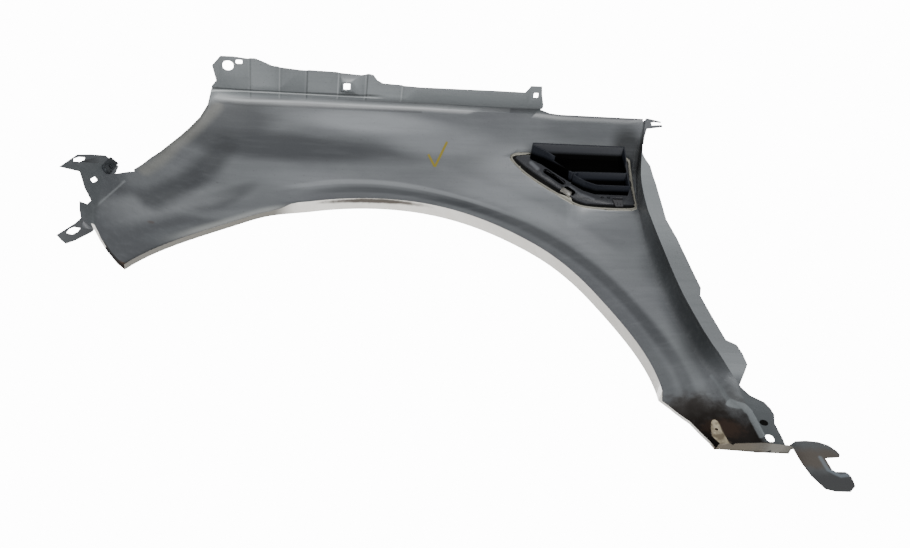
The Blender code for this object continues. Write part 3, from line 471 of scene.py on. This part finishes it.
def primer_dust_and_painted_light(tree, mm, axes):
    """Film of dust over the primer, then painted light and shade: broad patches of soft shadow, light and
    reflection, the lines round the arch, and streaks along creases and folds.
    """
    film = noise(tree, mm, 140.0, 4.0, 0.55, 0.6)
    color = over(tree, linear(PRIMER), linear(PRIMER_DUSTY), ramp(tree, film, 0.3, 0.7))
    # Painted patches of soft shadow, light and reflection
    for (x, z), (reach_x, reach_z), angle, shade, share in LIGHT_AND_SHADE_PATCHES:
        mask = blot(tree, mm, (x, TONE_Y, z), (reach_x, TONE_REACH_Y, reach_z), 0.3, TONE_GRAIN, angle, 1.0)
        color = over(tree, color, linear(shade), mask, share)
    for middle, half, first, last, shade, share in RINGS:
        core = half * RING_CORE
        spans = {"out": (middle - core, middle + core, half), "turn": (first, last, RING_END_FADE)}
        color = over(tree, color, linear(shade), region(tree, axes, spans), share)
    # Painted highlights and shadow lines along creases and folds
    for path, half, fade, shade, share in PAINTED_LIGHT_STREAKS:
        color = over(tree, color, linear(shade), stroke(tree, mm, path, half, fade), share)
    return color


def primer_folds(tree, axes, color):
    """Painted shade in the rear fold; painted lighter greys on the flanges turned out of the side and a
    painted darker grey on the bracket, for how light falls on them; painted shadows and glints at the
    flange's steps and its rolled edge.
    """
    color = over(tree, color, linear(FOLD_SHADE), region(tree, axes, FOLD_HOLLOW), 0.75)
    # Painted lighter grey on the rear wall's faces that look square to the side, lighter still towards its
    # top
    square_on = ramp(tree, facing(tree)["y"], -0.8, -0.92)
    rear = both(tree, square_on, region(tree, axes, REAR_WALL))
    color = over(tree, color, linear(DOOR_FLANGE_PAINTED_LIGHT), rear, 0.95)
    rear_top = both(tree, rear, region(tree, axes, REAR_WALL_TOP))
    color = over(tree, color, linear(FLANGE_PAINTED_LIGHT), rear_top, 0.8)
    # Painted lighter grey on the hood flange's ledge, with painted shadows and glints at its pressed steps
    ledge = region(tree, axes, LEDGE)
    color = over(tree, color, linear(FLANGE_PAINTED_LIGHT), ledge, 0.8)
    for at, dark, light in FLANGE_STEPS:
        shadow = both(tree, ledge, band(tree, axes["x"], at, at + 0.6, 1.6))
        color = over(tree, color, linear(STEP_SHADOW), shadow, dark)
        glint = both(tree, ledge, band(tree, axes["x"], at - 3.2, at - 2.8, 1.4))
        color = over(tree, color, linear(STEP_GLINT), glint, light)
    color = over(tree, color, linear(ROLL_GLINT), region(tree, axes, ROLL_CREST), 0.7)
    color = over(tree, color, linear(ROLL_SHADOW), region(tree, axes, ROLL_FOOT), 0.6)
    # Painted darker grey over the front bracket, for its shade
    return over(tree, color, linear(BRACKET_PAINTED_SHADE), region(tree, axes, BRACKET), 0.9)


def primer_grain(tree, mm, color):
    """Faint marks drawn out along the sheet, 90 mm long and 9 mm apart, and 3 mm dust specks."""
    drawn = noise(tree, vectors(tree, "DIVIDE", mm, (90.0, 9.0, 9.0)), 1.0, 5.0, 0.6)
    color = over(tree, color, linear(DRAWN_PALE), ramp(tree, drawn, 0.5, 0.72), 0.07)
    color = over(tree, color, linear(DRAWN_DEEP), ramp(tree, drawn, 0.48, 0.3), 0.1)
    speck = noise(tree, mm, 3.0, 3.0)
    return over(tree, color, linear(SPECK_BROWN), ramp(tree, speck, 0.66, 0.74), 0.4)


def primer_dirt(tree, mm, axes, color):
    """Mud, rust, a grey over the foot pad, the hook's grime, and lines of painted light and shade with
    chipped paint, with the mask of where the mud lies.
    """
    muddy = []
    for centre, reach, angle, shade, share, ragged in MUD:
        muddy.append(blot(tree, mm, centre, reach, ragged, MUD_GRAIN, angle))
        color = over(tree, color, linear(shade), muddy[-1], share)
    for centre, reach, angle, share in RUST:
        mask = blot(tree, mm, centre, reach, RUST_RAGGED, RUST_GRAIN, angle)
        color = over(tree, color, linear(RUST_BROWN), mask, share)
    color = over(tree, color, linear(PAD_GREY), region(tree, axes, PAD_FACE), 0.9)
    for centre, reach, angle, shade, share, ragged in HOOK_GRIME:
        mask = blot(tree, mm, centre, reach, ragged, MUD_GRAIN, angle)
        color = over(tree, color, linear(shade), mask, share)
    # Painted highlights on the pad's pressed edge and the hook slot's rim, a painted shadow in the front
    # crease, and chipped white paint
    for path, half, fade, shade, share in TRIM_AND_PAINTED_LIGHT_LINES:
        mask = stroke(tree, mm, path, half, fade, TRIM_WOBBLE)
        color = over(tree, color, linear(shade), mask, share)
    return color, widest(tree, muddy)


def primer_grey():
    """Baked grey electrocoat: even and satin under road dust, with painted light and shade laid into its
    colour; dull and crusted where mud lies at the foot.
    """
    mat, tree, shader = finish_named("grey_electrocoat_primer", 0.4)
    mm = fender_mm(tree)
    axes = split(tree, mm)
    axes["out"] = outside_lip(tree, axes)
    axes["turn"] = round_arch(tree, axes)
    color = primer_dust_and_painted_light(tree, mm, axes)
    color = primer_folds(tree, axes, color)
    color = primer_grain(tree, mm, color)
    color, dirty = primer_dirt(tree, mm, axes, color)
    feed(tree, shader, "Base Color", color)
    feed(tree, shader, "Roughness", ramp(tree, dirty, 0.0, 1.0, 0.4, 0.85))
    feed(tree, shader, "Specular IOR Level", ramp(tree, dirty, 0.0, 1.0, 0.4, 0.06))
    crust = both(tree, noise(tree, mm, 9.0, 6.0, 0.7), dirty)
    relief(tree, shader, scaled_sum(tree, noise(tree, mm, 5.0, 2.0), 0.04, crust), 0.35, 1.2)
    return mat


def topcoat_white():
    """Clear-coated white body paint: bright and glossy outside; grey painted shade on the front lip's turned
    edge and grime on the foot's underside, both dull.
    """
    mat, tree, shader = finish_named("white_body_paint", 0.2)
    mm = fender_mm(tree)
    axes = split(tree, mm)
    axes["out"] = outside_lip(tree, axes)
    film = noise(tree, mm, 22.0, 6.0, 0.65)
    color = over(tree, linear(PAINT_WHITE), linear(PAINT_CREAM), ramp(tree, film, 0.42, 0.7), 0.6)
    # Painted grey shade over the front lip
    front = region(tree, axes, FRONT_LIP)
    color = over(tree, color, linear(LIP_PAINTED_SHADE), front, 0.95)
    under = region(tree, axes, FOOT_UNDER)
    color = over(tree, color, linear(FOOT_GRIME), under, 0.95)
    for centre, reach, angle, shade, share, ragged in PAINT_DIRT:
        mask = blot(tree, mm, centre, reach, ragged, PAINT_GRAIN, angle)
        color = over(tree, color, linear(shade), mask, share)
    feed(tree, shader, "Base Color", color)
    dull = widest(tree, [front, under])
    feed(tree, shader, "Roughness", ramp(tree, dull, 0.0, 1.0, 0.2, 0.8))
    feed(tree, shader, "Specular IOR Level", ramp(tree, dull, 0.0, 1.0, 0.5, 0.1))
    feed(tree, shader, "Coat Weight", ramp(tree, dull, 0.0, 1.0, 0.5, 0.0))
    shader.inputs["Coat Roughness"].default_value = 0.08
    return mat


def liner_tab_cream():
    """Body paint on the liner's tab, gone cream and dull under road film, with mud on its rear edge."""
    mat, tree, shader = finish_named("filmed_cream_paint", 0.6)
    mm = fender_mm(tree)
    film = ramp(tree, noise(tree, mm, 14.0, 5.0), 0.42, 0.62)
    color = over(tree, linear(TAB_CREAM), linear(TAB_FILM), film)
    splash = stroke(tree, mm, TAB_SPLASH, 4.5, 3.0, 2.0)
    feed(tree, shader, "Base Color", over(tree, color, linear(TAB_MUD), splash, 0.92))
    shader.inputs["Specular IOR Level"].default_value = 0.1
    return mat


def mottled(name, light, dark, grain_mm, detail, roughness, metallic=0.0):
    """Finish that wanders between two colours in patches of a size."""
    mat, tree, shader = finish_named(name, roughness, metallic)
    patches = noise(tree, fender_mm(tree), grain_mm, detail)
    feed(tree, shader, "Base Color", over(tree, linear(light), linear(dark), patches))
    return mat


def seam_sealer():
    """Brushed seam sealer: soft beige vinyl, dull, with dust in it."""
    return mottled("beige_seam_sealer", 0x8A887E, 0x6E6D66, 9.0, 4.0, 0.6)


def bead_sealer():
    """Seam sealer left proud in a bead: chalky beige, a little darker where dust has settled."""
    return mottled("chalky_seam_sealer", 0x706E65, 0x55544E, 12.0, 4.0, 0.65)


def marker_paint():
    """Yellow paint marker: thin and streaky over the primer."""
    return mottled("yellow_marker_paint", 0x6C5F06, 0x595216, 4.0, 3.0, 0.5)


def worn_metal(name, bright, dull, roughness):
    """Plated or phosphated spring steel: metallic, with handling marks."""
    return mottled(name, bright, dull, 4.0, 4.0, roughness, 1.0)


def gloss_abs():
    """Moulded gloss black ABS: black with sharp reflections and faint waviness where it shrank; painted
    reflections and black painted shade in its hollows on the inner face.
    """
    mat, tree, shader = finish_named("gloss_black_abs", 0.26)
    mm = fender_mm(tree)
    inner = both(tree, facing(tree)["y"], 0.0, "LESS_THAN")
    color = linear(0x28292C)
    # Painted reflections on the inner face
    for path, half, fade, shade, share in PLATE_PAINTED_REFLECTIONS:
        mask = both(tree, inner, stroke(tree, mm, path, half, fade))
        color = over(tree, color, linear(shade), mask, share)
    # Black painted shade in the pocket, holes and slots
    hollow_shade = widest(tree, [stroke(tree, mm, path, half, fade) for path, half, fade in PLATE_HOLLOWS])
    hollow_shade = both(tree, inner, hollow_shade)
    feed(tree, shader, "Base Color", over(tree, color, linear(0x010101), hollow_shade))
    feed(tree, shader, "Specular IOR Level", ramp(tree, hollow_shade, 0.0, 1.0, 0.5, 0.0))
    relief(tree, shader, noise(tree, mm, 30.0, 1.0), 0.06, 3.0)
    return mat


def satin_duct():
    """Moulded polypropylene: satin slate with a spark texture, with black shade painted down in the ducts."""
    mat, tree, shader = finish_named("satin_slate_polypropylene", 0.5)
    mm = fender_mm(tree)
    axes = split(tree, mm)
    step = ramp(tree, axes["z"], DUCT_SPLIT_Z, DUCT_SPLIT_Z + 2.0, DUCT_LOWER_STEP, 0.0)
    # Black painted shade down in the ducts
    depth_shade = ramp(tree, both(tree, axes["y"], step, "SUBTRACT"), DUCT_SLATE_Y, DUCT_SHADE_Y)
    feed(tree, shader, "Base Color", over(tree, linear(0x0F1219), linear(0x010101), depth_shade))
    feed(tree, shader, "Specular IOR Level", ramp(tree, depth_shade, 0.0, 1.0, 0.3, 0.02))
    relief(tree, shader, noise(tree, mm, 1.2, 2.0), 0.2, 0.2)
    return mat


def dull_plastic(name, color, roughness, sheen=0.5):
    """Clip plastic, rubber, or a black painted shadow: one dark colour with a fine matt grain."""
    mat, tree, shader = finish_named(name, roughness, color=color)
    shader.inputs["Specular IOR Level"].default_value = sheen
    relief(tree, shader, noise(tree, fender_mm(tree), 0.8, 2.0), 0.25, 0.2)
    return mat


def piece_from(name, bm):
    """Object with the form built in bm, which it frees."""
    mesh = bpy.data.meshes.new(name)
    bm.to_mesh(mesh)
    bm.free()
    piece = bpy.data.objects.new(name, mesh)
    bpy.context.collection.objects.link(piece)
    return piece


def merged_copy(name, node):
    """The node's solid again as one welded mesh."""
    bm = bmesh.new()
    bm.from_mesh(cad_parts[node].data)
    bmesh.ops.remove_doubles(bm, verts=bm.verts, dist=0.00001)
    return piece_from(name, bm)


def settle(piece):
    """Bakes the piece's modifiers into a plain mesh."""
    graph = bpy.context.evaluated_depsgraph_get()
    graph.update()
    mesh = bpy.data.meshes.new_from_object(piece.evaluated_get(graph))
    piece.modifiers.clear()
    piece.data = mesh


def dress(name, node, mats, bevel_mm=0.0, angle=32.0):
    """Stands a welded copy with small rounded edges and its own materials in the node's place."""
    piece = merged_copy(name, node)
    if bevel_mm:
        round_over = piece.modifiers.new("Edges", "BEVEL")
        round_over.width = bevel_mm * MM
        round_over.segments = 2
        round_over.limit_method = "ANGLE"
        round_over.angle_limit = math.radians(40.0)
        settle(piece)
    piece.data.materials.clear()
    for mat in mats:
        piece.data.materials.append(mat)
    piece.data.shade_smooth()
    piece.data.set_sharp_from_angle(angle=math.radians(angle))
    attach(piece, "root")
    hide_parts(node)
    return piece


def inside(outline, x, z):
    """Whether x, z lies within the outline."""
    hit = False
    for (x0, z0), (x1, z1) in zip(outline, outline[1:] + outline[:1]):
        if (z0 > z) != (z1 > z) and x < x0 + (x1 - x0) * (z - z0) / (z1 - z0):
            hit = not hit
    return hit


def within(box, spot):
    return all(low < value < high for value, (low, high) in zip(spot, box))


def across_sheet(bm):
    """For each face of the thin sheet, the face on its other side."""
    tree = BVHTree.FromBMesh(bm)
    start_mm = 0.02
    sliver_mm2 = 0.02
    across = {}
    for face in bm.faces:
        start = face.calc_center_median() - face.normal * start_mm * MM
        hit = tree.ray_cast(start, -face.normal)
        if face.calc_area() < sliver_mm2 * MM * MM or hit[3] is None or hit[3] > SHEET_MM * 1.4 * MM:
            continue
        if bm.faces[hit[2]].normal.dot(face.normal) < -0.8:
            across[face.index] = hit[2]
    return across


def flood_sides(bm, across):
    """Spreads paint from the large outer face over its neighbours, and primer over what lies across it."""
    first = max(across, key=lambda i: bm.faces[i].calc_area() * (bm.faces[i].normal.y > 0.7))
    side = {first: PAINTED}
    todo = [first]
    while todo:
        index = todo.pop()
        near = [(across[index], PAINTED if side[index] == PRIMED else PRIMED)]
        for edge in bm.faces[index].edges:
            if edge.calc_face_angle(math.pi) < math.radians(100.0):
                near += [(other.index, side[index]) for other in edge.link_faces if other.index != index]
        for other, value in near:
            if other in across and other not in side:
                side[other] = value
                todo.append(other)
    return side


def sort_sides(piece):
    """Paints the sheet's outer face, primes its inner face and edges, seals the vent's rim and paints a black
    shadow in the gap inside it.
    """
    bm = bmesh.new()
    bm.from_mesh(piece.data)
    bm.faces.ensure_lookup_table()
    side = flood_sides(bm, across_sheet(bm))
    gap = []
    for corner in SEALER_RIM:
        inward = (VENT_MIDDLE - Vector(corner)).normalized()
        gap.append(tuple(Vector(corner) + inward * GAP_INSET))
    for face in bm.faces:
        spot = face.calc_center_median() / MM + PAD
        if face.index in side:
            face.material_index = side[face.index]
        elif face.normal.y > 0.6 or (face.normal.z > 0.8 and spot.z > 570.0):
            face.material_index = PAINTED
        else:
            face.material_index = PRIMED
        # Inside the rim: sealer, and a black painted shadow in the gap
        if spot.z > 390.0 and face.normal.y < 0.3 and inside(SEALER_RIM, spot.x, spot.z):
            face.material_index = GAP_SHADOW if inside(gap, spot.x, spot.z) else SEALED
        if within(LINER_TAB_BOX, spot):
            face.material_index = TAB
        if face.normal.z < -0.6 and within(FOOT_FLANGE_BOX, spot):
            face.material_index = PAINTED
    bm.to_mesh(piece.data)
    bm.free()


def round_off(points, times=2):
    """Closed path with its corners cut again and again until they read as round."""
    for _ in range(times):
        cut = []
        for a, b in zip(points, points[1:] + points[:1]):
            cut.append((a[0] * 0.75 + b[0] * 0.25, a[1] * 0.75 + b[1] * 0.25))
            cut.append((a[0] * 0.25 + b[0] * 0.75, a[1] * 0.25 + b[1] * 0.75))
        points = cut
    return points


def bead_path(panel):
    """Middle line of the bead, a little inside the rim and laid on the sheet."""
    tree = BVHTree.FromObject(panel, bpy.context.evaluated_depsgraph_get())
    path = []
    for x, z in round_off(SEALER_RIM):
        inward = (VENT_MIDDLE - Vector((x, z))).normalized() * BEAD_INSET
        hit = tree.ray_cast(place(x + inward.x, -300.0, z + inward.y), Vector((0.0, 1.0, 0.0)))
        if hit[0] is not None:
            path.append(hit[0] + Vector((0.0, -BEAD_RADIUS * BEAD_PROUD * MM, 0.0)))
    return path


def sealer_bead(panel):
    """Bead of sealer laid by hand along the pressed rim of the vent opening."""
    path = bead_path(panel)
    bm = bmesh.new()
    rings = []
    for k, spot in enumerate(path):
        ahead = (path[(k + 1) % len(path)] - path[k - 1]).normalized()
        across = ahead.cross(Vector((0.0, 1.0, 0.0))).normalized()
        over_it = across.cross(ahead).normalized()
        ring = []
        for i in range(BEAD_SIDES):
            a = math.tau * i / BEAD_SIDES
            outwards = across * math.cos(a) + over_it * math.sin(a)
            ring.append(bm.verts.new(spot + outwards * BEAD_RADIUS * MM))
        rings.append(ring)
    for a, b in zip(rings, rings[1:] + rings[:1]):
        for i in range(BEAD_SIDES):
            j = (i + 1) % BEAD_SIDES
            bm.faces.new((a[i], a[j], b[j], b[i]))
    bmesh.ops.recalc_face_normals(bm, faces=bm.faces)
    piece = piece_from("sealer_bead", bm)
    piece.data.shade_smooth()
    piece.data.materials.append(bead_sealer())
    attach(piece, "root")


def marker_tick():
    """Two straight marker strokes laid on the skin."""
    bm = bmesh.new()
    for (x0, z0), (x1, z1) in zip(TICK, TICK[1:]):
        run = Vector((x1 - x0, z1 - z0))
        side = Vector((-run.y, run.x)).normalized() * TICK_WIDTH / 2.0
        rows = []
        for k in range(TICK_STEPS + 1):
            middle = Vector((x0, z0)) + run * (k / TICK_STEPS)
            row = []
            for s in (-1.0, 0.0, 1.0):
                p = middle + side * s
                row.append(bm.verts.new(place(p.x, skin_y(p.x, p.y) - TICK_LIFT, p.y)))
            rows.append(row)
        for a, b in zip(rows, rows[1:]):
            for i in range(2):
                bm.faces.new((a[i], a[i + 1], b[i + 1], b[i]))
    bmesh.ops.recalc_face_normals(bm, faces=bm.faces)
    for face in bm.faces:
        if face.normal.y > 0:
            face.normal_flip()
    piece = piece_from("marker_tick", bm)
    piece.data.materials.append(marker_paint())
    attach(piece, "root")


def photo_camera():
    """Camera with the photograph's lens, place and turn."""
    lens = bpy.data.cameras.new("photo_camera")
    lens.lens = FOCAL_MM
    lens.sensor_width = FILM_MM
    lens.clip_start = 0.05
    lens.clip_end = 60.0
    camera = bpy.data.objects.new("photo_camera", lens)
    bpy.context.collection.objects.link(camera)
    right = CAMERA_RIGHT.normalized()
    up = (CAMERA_UP - CAMERA_UP.dot(right) * right).normalized()
    turn = Matrix((right, up, right.cross(up))).transposed().to_4x4()
    camera.matrix_world = Matrix.Translation(place(*CAMERA_AT)) @ turn
    bpy.context.scene.camera = camera


def soft_light(name, at, aim, size, power):
    """Square soft box at a place, turned to what it lights."""
    lamp = bpy.data.lights.new(name, "AREA")
    lamp.shape = "SQUARE"
    lamp.size = size
    lamp.energy = power
    light = bpy.data.objects.new(name, lamp)
    bpy.context.collection.objects.link(light)
    turn = (at - aim).normalized().to_track_quat("Z", "Y").to_matrix().to_4x4()
    light.matrix_world = Matrix.Translation(at) @ turn


def white_surround():
    """World that is white to the camera, and lights the part more from behind than from the camera's side."""
    world = bpy.data.worlds.new("studio")
    bpy.context.scene.world = world
    world.use_nodes = True
    tree = world.node_tree
    where = add(tree, "ShaderNodeTexCoord")
    depth = split(tree, where.outputs["Generated"])["y"]
    grade = ramp(tree, depth, -0.1, 0.25, ROOM_FILL, SURROUND, "SMOOTHSTEP")
    seen = add(tree, "ShaderNodeLightPath").outputs["Is Camera Ray"]
    strength = add(tree, "ShaderNodeMix", {"Factor": seen, 2: grade, 3: WHITE_GROUND}, data_type="FLOAT")
    ground = tree.nodes["Background"]
    feed(tree, ground, "Strength", strength.outputs[0])
    ground.inputs["Color"].default_value = (1.0, 1.0, 1.0, 1.0)


def studio():
    """White surround, soft boxes and a pale floor."""
    white_surround()
    middle = (Vector(cad_box[0]) + Vector(cad_box[1])) / 2.0
    vent = place(*VENT_PLACE)
    soft_light("key_softbox", place(*CAMERA_AT) + KEY_FROM_CAMERA, middle, 1.1, KEY_POWER)
    soft_light("side_softbox", middle + SIDE_FROM_MIDDLE, middle, 1.2, SIDE_POWER)
    soft_light("vent_softbox", vent + VENT_FROM_VENT, vent, 0.3, VENT_POWER)
    soft_light("back_softbox", middle + BACK_FROM_MIDDLE, middle, 1.6, BACK_POWER)
    bm = bmesh.new()
    bmesh.ops.create_grid(bm, x_segments=1, y_segments=1, size=FLOOR_HALF)
    bmesh.ops.translate(bm, verts=bm.verts, vec=(0.2, 0.0, FLOOR_Z))
    floor = piece_from("floor", bm)
    mat, tree, shader = finish_named("pale_floor", 0.8, color=0xE6E6E4)
    floor.data.materials.append(mat)


photo_camera()
studio()
# The fourth finish is a black painted shadow for the gap inside the vent's rim
panel_finishes = [
    primer_grey(), topcoat_white(), seam_sealer(), dull_plastic("painted_gap_shadow", 0x060606, 0.8, 0.1),
    liner_tab_cream(),
]
panel = dress("fender_skin", "fender_panel", panel_finishes, 0.0, 28.0)
sort_sides(panel)
sealer_bead(panel)
dress("vent_base", "vent_bezel", [gloss_abs()], 0.4, 25.0)
dress("vent_ducts", "vent_duct", [satin_duct()], 0.4, 25.0)
dress("spring_clip", "vent_spring_clip", [worn_metal("bright_spring_steel", 0xC9C7C0, 0x9C9A94, 0.28)], 0.3)
dress("lower_clip", "vent_lower_clip", [dull_plastic("dark_acetal", 0x2E2E30, 0.45)], 0.3)
dress("side_clip", "vent_side_clip", [dull_plastic("black_acetal", 0x101011, 0.45)], 0.5)
dress("clip_nut", "bracket_clip_nut", [worn_metal("phosphated_steel", 0x575B5F, 0x3A3D40, 0.45)], 0.3)
dress("rubber_plug", "foot_plug", [dull_plastic("black_rubber", 0x030303, 0.8, 0.05)], 0.4)
marker_tick()
